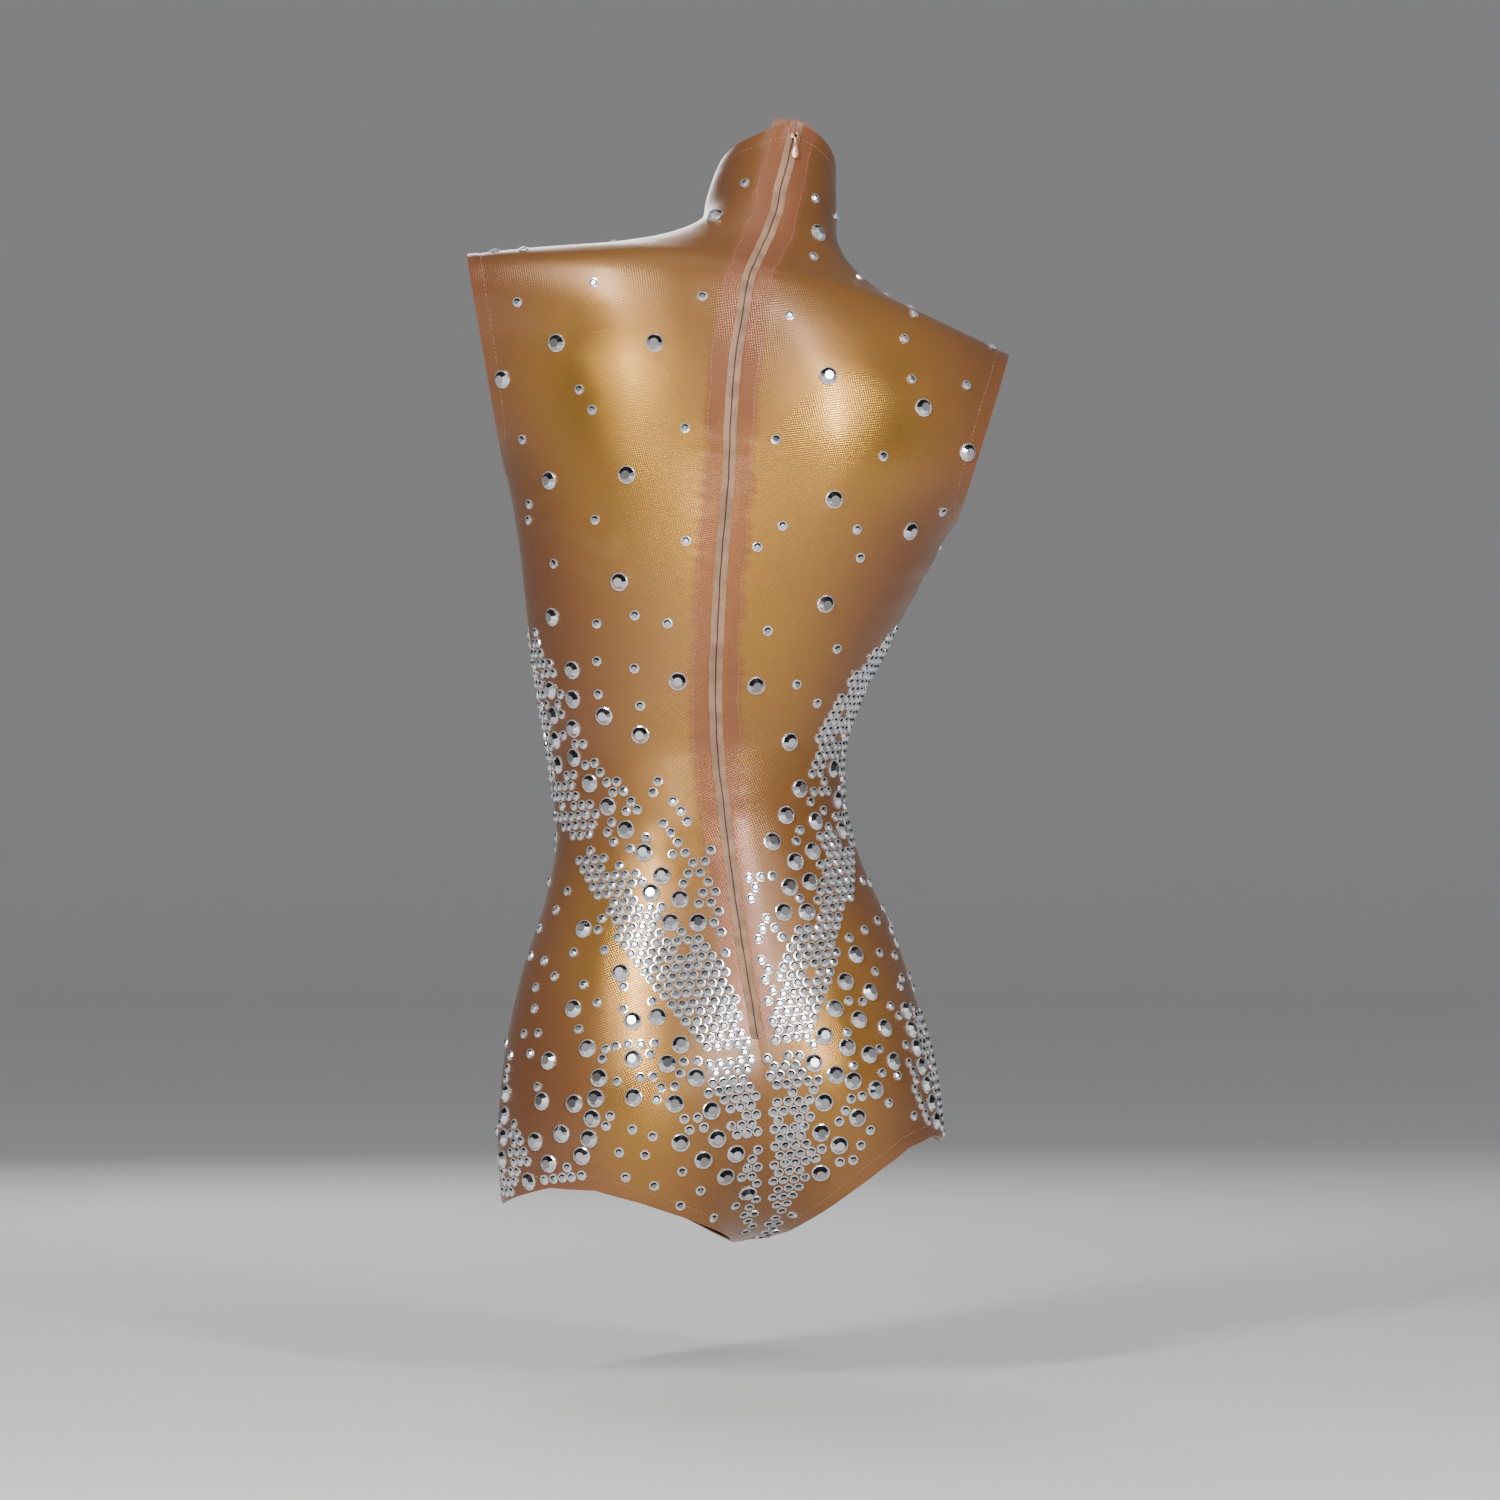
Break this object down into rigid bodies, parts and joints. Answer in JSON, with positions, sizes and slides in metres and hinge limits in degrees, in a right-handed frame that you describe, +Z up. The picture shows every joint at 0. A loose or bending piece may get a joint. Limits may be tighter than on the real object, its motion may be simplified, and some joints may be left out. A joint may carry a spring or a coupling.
{
  "type": "leotard",
  "caption": "Sleeveless high-necked stage leotard in sheer nude mesh, worn shape, short-cut legs, centre back zip and cut stones.",
  "frame": {"origin": "middle of the neck's base, where the wearer's shoulders carry the garment", "axes": "+Z up, the wearer's front faces -Y, the wearer's left is +X"},
  "size_m": [0.3794, 0.2335, 0.7899],
  "materials": {
    "mesh_cloth": "fine nude stretch mesh with a golden satin sheen",
    "zip_tape": "pinkish beige woven tape",
    "zip_metal": "salmon enamel, satin"
  },
  "bodies": {
    "garment": {"front_panel": "mesh_cloth", "back_panel_left": "mesh_cloth", "back_panel_right": "mesh_cloth", "neck_patch": "mesh_cloth", "zip_tape_left": "zip_tape", "zip_tape_right": "zip_tape", "zip_slider": "zip_metal"},
    "pull": {"zip_pull": "zip_metal"}
  },
  "joints": [
    {"name": "zip_pull_swing", "type": "hinge", "parent": "garment", "child": "pull", "pos_m": [-0.01804, 0.03707, 0.07584], "axis": [0.9485, 0.2985, 0.1064], "range_deg": [0, 150]}
  ]
}
